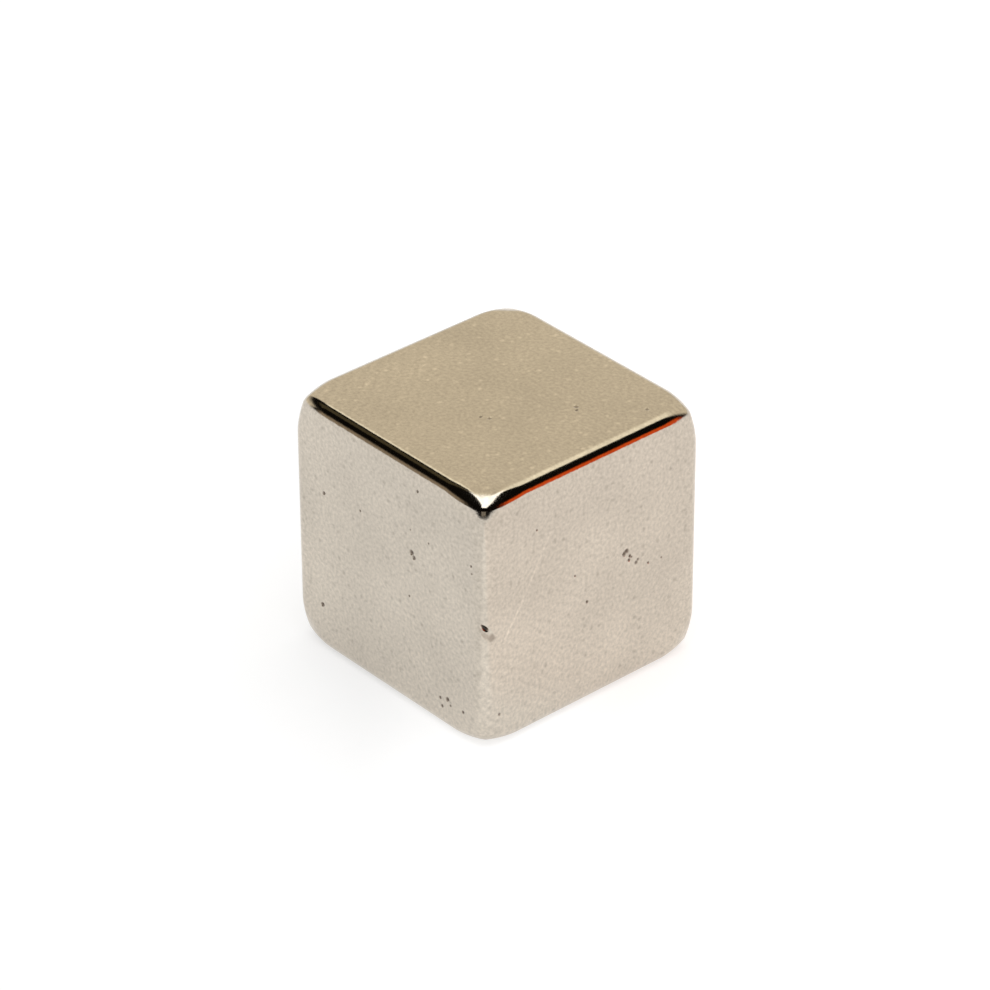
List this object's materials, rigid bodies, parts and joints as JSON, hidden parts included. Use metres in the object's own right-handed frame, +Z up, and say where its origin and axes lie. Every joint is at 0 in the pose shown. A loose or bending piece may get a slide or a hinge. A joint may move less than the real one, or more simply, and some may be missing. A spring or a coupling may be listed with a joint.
{
  "type": "block magnet",
  "caption": "Nickel-plated cube magnet with tumbled edges and ball-rounded corners, small enough to hold between finger and thumb",
  "frame": {"origin": "centre of the lower pole face, on the surface that the magnet stands on", "axes": "+Z runs up from pole face to pole face, +X out of the right side face, +Y out of the back side face"},
  "size_m": [0.01, 0.01, 0.01],
  "materials": {
    "nickel_plating": "satin"
  },
  "bodies": {
    "root": {"block_magnet": "nickel_plating"}
  },
  "joints": []
}
